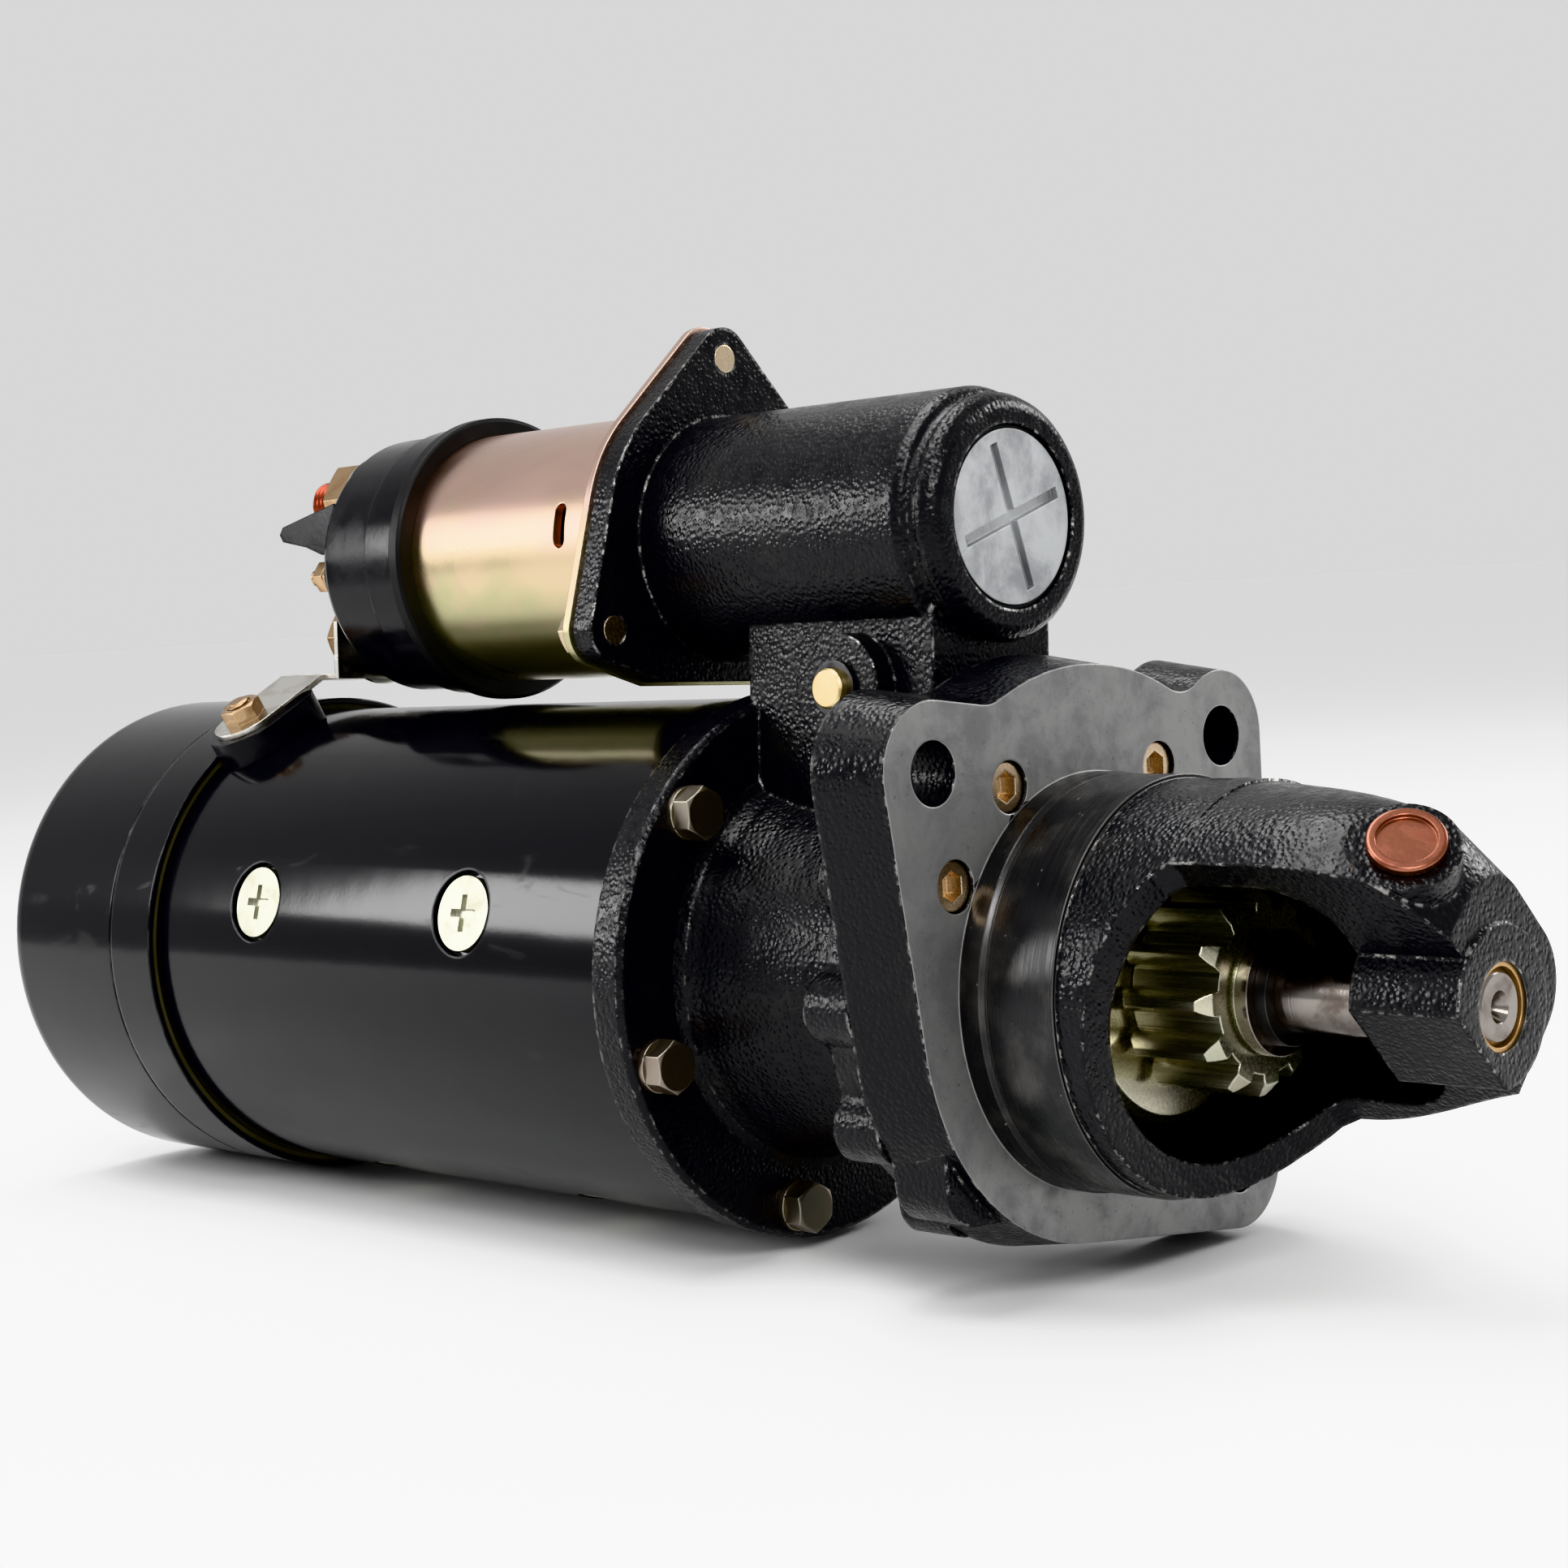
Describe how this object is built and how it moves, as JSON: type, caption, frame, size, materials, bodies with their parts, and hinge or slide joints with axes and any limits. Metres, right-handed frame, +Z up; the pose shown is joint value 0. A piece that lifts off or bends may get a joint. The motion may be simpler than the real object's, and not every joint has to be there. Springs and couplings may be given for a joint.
{
  "type": "starter motor",
  "caption": "Heavy-duty engine starter with a solenoid on top, a three-eared mounting flange, a machined pilot and a half-open nose that guards a sliding pinion.",
  "frame": {"origin": "middle of the mounting pilot, on the face of the mounting flange", "axes": "+X along the shaft towards the nose, +Z up, mounting holes square with Y and Z"},
  "size_m": [0.4507, 0.1356, 0.223],
  "materials": {
    "cast_black": "semi-gloss black paint over a rough casting, bright on worn edges",
    "enamel_black": "smooth gloss black enamel",
    "yellow_zinc": "yellow zinc-chromate plating, iridescent",
    "pale_zinc": "pale zinc plating",
    "steel": "machined steel",
    "dark_steel": "blackened spring steel",
    "die_cast_plug": "matte die-cast grey",
    "bakelite": "black moulded phenolic",
    "black_rubber": "black rubber",
    "olive_rubber": "olive rubber",
    "copper": "copper",
    "tinned_copper": "tin-plated copper",
    "brass": "brass",
    "bronze": "sintered bronze",
    "carbon": "carbon brush",
    "felt": "oil felt"
  },
  "bodies": {
    "root": {"battery_stud": "copper", "brush_holders": "bakelite", "brush_springs": "pale_zinc", "brushes": "carbon", "cap_gasket": "black_rubber", "centre_bearing_plate": "dark_steel", "centre_bush": "bronze", "coil_bobbin": "bakelite", "field_coils": "copper", "field_frame": "enamel_black", "field_terminal": "copper", "field_terminal_nut": "brass", "fixed_core": "steel", "frame_seal_ring": "olive_rubber", "lever_housing": "cast_black", "lever_pin": "brass", "lever_pin_clip": "pale_zinc", "lever_pin_ring": "dark_steel", "motor_strap": "tinned_copper", "motor_stud": "copper", "nose_bush": "bronze", "nose_housing": "cast_black", "nose_screws": "yellow_zinc", "oil_wick": "felt", "plug_seal": "black_rubber", "pole_screws": "pale_zinc", "pole_shoes": "steel", "rear_bush": "bronze", "rear_cap": "enamel_black", "rear_screws": "yellow_zinc", "return_spring": "pale_zinc", "rim_bolts": "yellow_zinc", "rim_washers": "yellow_zinc", "solenoid_cap": "bakelite", "solenoid_case": "yellow_zinc", "solenoid_coil": "copper", "solenoid_plate": "yellow_zinc", "solenoid_screws": "yellow_zinc", "stud_nuts": "brass", "stud_washer": "pale_zinc", "switch_nuts": "brass", "switch_terminal": "brass", "terminal_insulator": "bakelite", "tube_plug": "die_cast_plug", "wick_cap": "copper"},
    "armature": {"armature_shaft": "steel", "armature_core": "steel", "armature_windings": "copper", "commutator": "copper"},
    "drive": {"clutch_shell": "yellow_zinc", "clutch_rollers": "steel", "shift_collar": "steel"},
    "pinion": {"pinion": "yellow_zinc", "pinion_collar": "steel", "pinion_stop_ring": "dark_steel"},
    "lever": {"shift_lever": "steel"},
    "plunger": {"plunger": "steel", "plunger_link": "steel", "contact_rod": "brass", "contact_disc": "copper"}
  },
  "joints": [
    {"name": "armature_spin", "type": "hinge", "parent": "root", "child": "armature", "pos_m": [-0.185, 0, 0], "axis": [1, 0, 0], "continuous": true},
    {"name": "drive_slide", "type": "slide", "parent": "armature", "child": "drive", "axis": [1, 0, 0], "range_m": [0, 0.019]},
    {"name": "pinion_overrun", "type": "hinge", "parent": "drive", "child": "pinion", "pos_m": [0.034, 0, 0], "axis": [1, 0, 0], "continuous": true},
    {"name": "lever_swing", "type": "hinge", "parent": "root", "child": "lever", "pos_m": [-0.0525, 0.00377, 0.06529], "axis": [0, 0.9983, -0.0576], "range_deg": [-16.6, 0]},
    {"name": "plunger_slide", "type": "slide", "parent": "root", "child": "plunger", "axis": [1, 0, 0], "range_m": [-0.01078, 0], "stiffness_N_per_m": 500, "springref_m": 0.02, "deforming": ["return_spring"]}
  ],
  "couplings": [
    {"joint": "lever_swing", "follows": "drive_slide", "rad_per_m": -15.184},
    {"joint": "plunger_slide", "follows": "drive_slide", "ratio": -0.56593}
  ]
}
